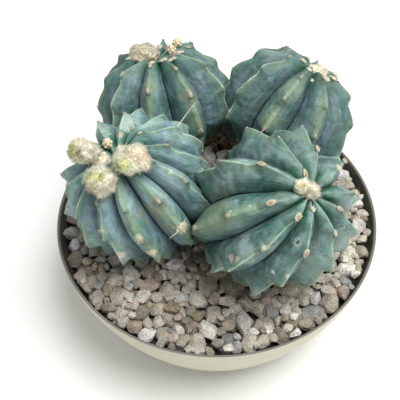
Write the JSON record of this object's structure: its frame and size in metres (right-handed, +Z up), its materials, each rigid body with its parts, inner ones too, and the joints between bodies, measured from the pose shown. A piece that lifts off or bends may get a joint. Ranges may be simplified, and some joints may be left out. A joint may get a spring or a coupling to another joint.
{
  "type": "potted barrel cactus",
  "caption": "Group of blue-green ribbed barrel cacti with woolly buds, planted close together in a shallow round bowl topped with pale gravel.",
  "frame": {"origin": "the middle of the bowl's flat foot", "axes": "+Z up through the middle of the bowl; -Y towards the front, where most of the gravel shows; +X to the right"},
  "size_m": [0.1898, 0.1951, 0.1549],
  "materials": {
    "cream_plastic": "satin cream outside, dark grey-brown inside",
    "potting_soil": "crumbly potting soil",
    "pumice_gravel": "rough porous stone",
    "cactus_skin": "waxy blue-green plant skin with a pale bloom",
    "wool": "cream plant wool",
    "bud_skin": "dry tan bud"
  },
  "bodies": {
    "root": {"bowl": "cream_plastic", "soil": "potting_soil", "gravel": "pumice_gravel", "cactus_front_right": "cactus_skin", "cactus_front_left": "cactus_skin", "cactus_back_right": "cactus_skin", "cactus_back_left": "cactus_skin", "woolly_bud_1": "wool", "woolly_bud_2": "wool", "woolly_bud_3": "wool", "woolly_lump": "wool", "back_left_wool": "wool", "front_right_wool_1": "wool", "front_right_wool_2": "wool", "back_right_wool": "wool", "bare_bud": "bud_skin", "back_left_bud_1": "bud_skin", "back_left_bud_2": "bud_skin"}
  },
  "joints": []
}
